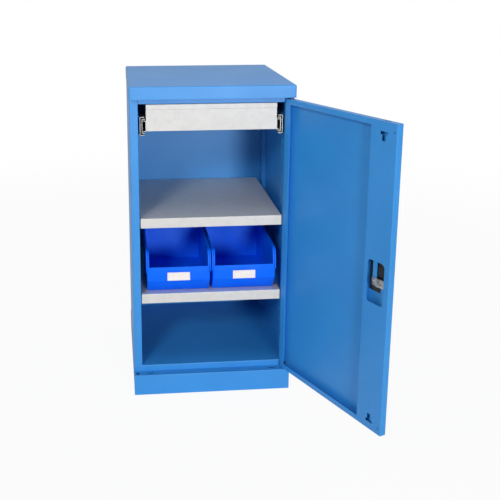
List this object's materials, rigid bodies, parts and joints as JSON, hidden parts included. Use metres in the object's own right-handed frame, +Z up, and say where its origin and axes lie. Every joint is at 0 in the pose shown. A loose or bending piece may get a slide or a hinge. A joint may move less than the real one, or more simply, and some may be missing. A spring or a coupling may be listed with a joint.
{
  "type": "storage cupboard",
  "caption": "Blue steel storage cupboard with an open right-hung door, rod lock, telescopic drawer, galvanised shelves and open-front plastic bins on a plinth.",
  "frame": {"origin": "middle of the carcass's footprint, on the floor under the plinth", "axes": "+Z up, +X to the cupboard's right seen from the front (the hinge side), +Y from the door opening to the back"},
  "size_m": [0.697, 0.9973, 1],
  "materials": {
    "blue_paint": "satin powder coat",
    "zinc_sheet": "galvanised",
    "zinc_plate": "bright zinc plate",
    "bin_plastic": "moulded, semi-gloss",
    "label_card": "bare card",
    "black_plastic": "moulded, matt",
    "brass": "machined"
  },
  "bodies": {
    "carcass": {"back_panel": "blue_paint", "floor_panel": "blue_paint", "header_rail": "blue_paint", "pivot_bush_bottom": "black_plastic", "pivot_bush_top": "black_plastic", "plinth": "blue_paint", "shelf_clips": "zinc_plate", "shelf_lower": "zinc_sheet", "shelf_upper": "zinc_sheet", "side_left": "blue_paint", "side_right": "blue_paint", "slide_carrier_left": "blue_paint", "slide_carrier_right": "blue_paint", "slide_fixed_left": "zinc_plate", "slide_fixed_right": "zinc_plate", "top_cap": "blue_paint", "upright_front_left": "blue_paint", "upright_front_right": "blue_paint", "upright_rear_left": "blue_paint", "upright_rear_right": "blue_paint"},
    "door": {"door_panel": "blue_paint", "lock_stile": "blue_paint", "hinge_pin_top": "zinc_plate", "hinge_pin_bottom": "zinc_plate", "rod_guides": "black_plastic", "lock_base": "black_plastic", "lock_rosette": "black_plastic"},
    "lock_turn": {"lock_cam": "zinc_plate", "lock_spindle": "zinc_plate", "turn_handle": "black_plastic"},
    "key": {"key_plug": "brass"},
    "upper_rod": {"rod_upper": "blue_paint"},
    "lower_rod": {"rod_lower": "blue_paint"},
    "drawer": {"drawer_tray": "zinc_sheet", "drawer_front": "zinc_sheet", "slide_inner_left": "zinc_plate", "slide_inner_right": "zinc_plate"},
    "middle_slide_left": {"slide_middle_left": "zinc_plate"},
    "middle_slide_right": {"slide_middle_right": "zinc_plate"},
    "left_bin": {"bin_left": "bin_plastic", "bin_label_left": "label_card"},
    "right_bin": {"bin_right": "bin_plastic", "bin_label_right": "label_card"}
  },
  "joints": [
    {"name": "door_hinge", "type": "hinge", "parent": "carcass", "child": "door", "pos_m": [0.2405, -0.2625, 0.5], "axis": [0, 0, 1], "range_deg": [-113, 67]},
    {"name": "handle_turn", "type": "hinge", "parent": "door", "child": "lock_turn", "pos_m": [0.41281, -0.66844, 0.51], "axis": [-0.9205, -0.3907, 0], "range_deg": [-90, 0]},
    {"name": "key_turn", "type": "hinge", "parent": "lock_turn", "child": "key", "pos_m": [0.41281, -0.66844, 0.51], "axis": [-0.9205, -0.3907, 0], "range_deg": [-90, 0]},
    {"name": "rod_up", "type": "slide", "parent": "door", "child": "upper_rod", "axis": [0, 0, 1], "range_m": [0, 0.018]},
    {"name": "rod_down", "type": "slide", "parent": "door", "child": "lower_rod", "axis": [0, 0, -1], "range_m": [0, 0.018]},
    {"name": "drawer_slide", "type": "slide", "parent": "carcass", "child": "drawer", "axis": [0, -1, 0], "range_m": [0, 0.45]},
    {"name": "middle_slide_left_out", "type": "slide", "parent": "carcass", "child": "middle_slide_left", "axis": [0, -1, 0], "range_m": [0, 0.225]},
    {"name": "middle_slide_right_out", "type": "slide", "parent": "carcass", "child": "middle_slide_right", "axis": [0, -1, 0], "range_m": [0, 0.225]},
    {"name": "bin_left_out", "type": "slide", "parent": "carcass", "child": "left_bin", "axis": [0, -1, 0], "range_m": [0, 0.3]},
    {"name": "bin_right_out", "type": "slide", "parent": "carcass", "child": "right_bin", "axis": [0, -1, 0], "range_m": [0, 0.3]}
  ],
  "couplings": [
    {"joint": "handle_turn", "follows": "rod_up", "rad_per_m": -87.26},
    {"joint": "rod_down", "follows": "rod_up", "ratio": 1},
    {"joint": "middle_slide_left_out", "follows": "drawer_slide", "ratio": 0.5},
    {"joint": "middle_slide_right_out", "follows": "drawer_slide", "ratio": 0.5}
  ]
}
